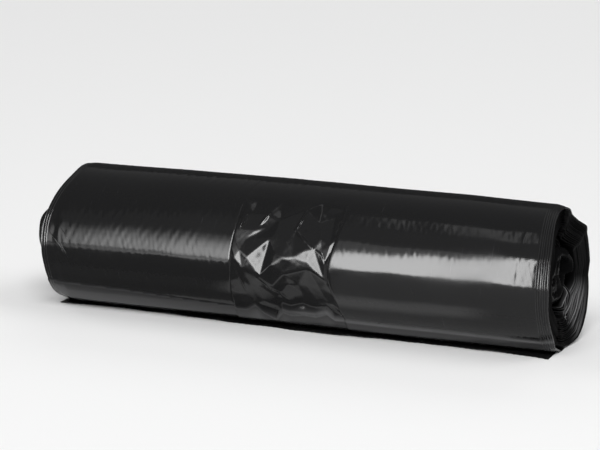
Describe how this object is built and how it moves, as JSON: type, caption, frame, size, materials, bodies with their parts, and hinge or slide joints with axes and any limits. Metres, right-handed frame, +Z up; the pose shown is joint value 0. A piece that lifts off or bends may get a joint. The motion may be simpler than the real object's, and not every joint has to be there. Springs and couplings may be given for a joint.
{
  "type": "bin bag roll",
  "caption": "Coreless roll of thin film bags lying on its side, with firm wound ends and a loose crumpled waist between them.",
  "frame": {"origin": "middle of the bounding box, on the surface the roll lies on", "axes": "+X along the roll, towards the end whose turns have slid in; +Z up; the front of the roll, with its free edge, faces -Y"},
  "size_m": [0.369, 0.095, 0.0935],
  "materials": {
    "film": "thin black polyethylene film, glossy, with faint haze and fine scratches"
  },
  "bodies": {
    "root": {"bag_roll": "film"}
  },
  "joints": []
}
